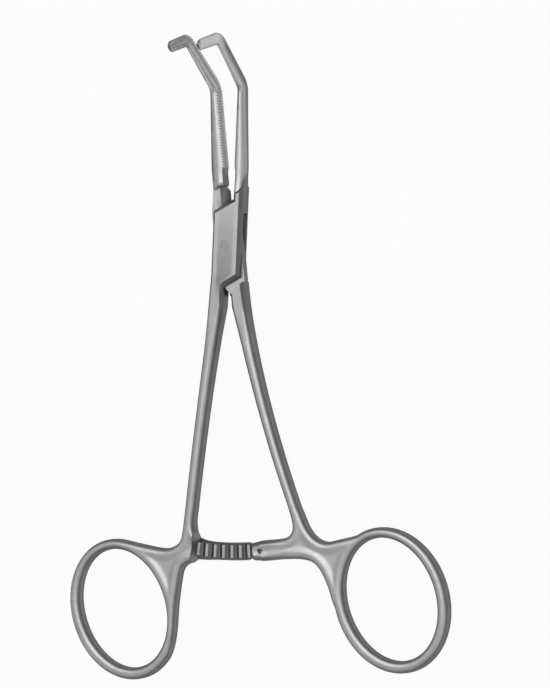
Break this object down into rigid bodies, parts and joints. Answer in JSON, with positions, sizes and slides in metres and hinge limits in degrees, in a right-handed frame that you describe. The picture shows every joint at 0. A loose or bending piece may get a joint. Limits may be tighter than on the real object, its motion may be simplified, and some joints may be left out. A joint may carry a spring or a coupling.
{
  "type": "vascular clamp",
  "caption": "Ring-handled locking clamp with a box lock, a ratchet and long toothed jaws that bend forward twice towards their tips.",
  "frame": {"origin": "where the pivot's axis meets the back face of the box, on the pin's flush end", "axes": "+Y from the pivot towards the jaws, along the box; +Z out of the front of the clamp, the way the jaws bend; +X towards the male half's ring"},
  "size_m": [0.0918, 0.1408, 0.0232],
  "materials": {
    "satin_steel": "satin",
    "pin_steel": "ground"
  },
  "bodies": {
    "box_side": {"box_half": "satin_steel", "pivot_pin": "pin_steel"},
    "male_side": {"male_half": "satin_steel"}
  },
  "joints": [
    {"name": "box_lock_pivot", "type": "hinge", "parent": "box_side", "child": "male_side", "pos_m": [0, 0, 0], "axis": [0, 0, 1], "range_deg": [-8.5, 30]}
  ]
}
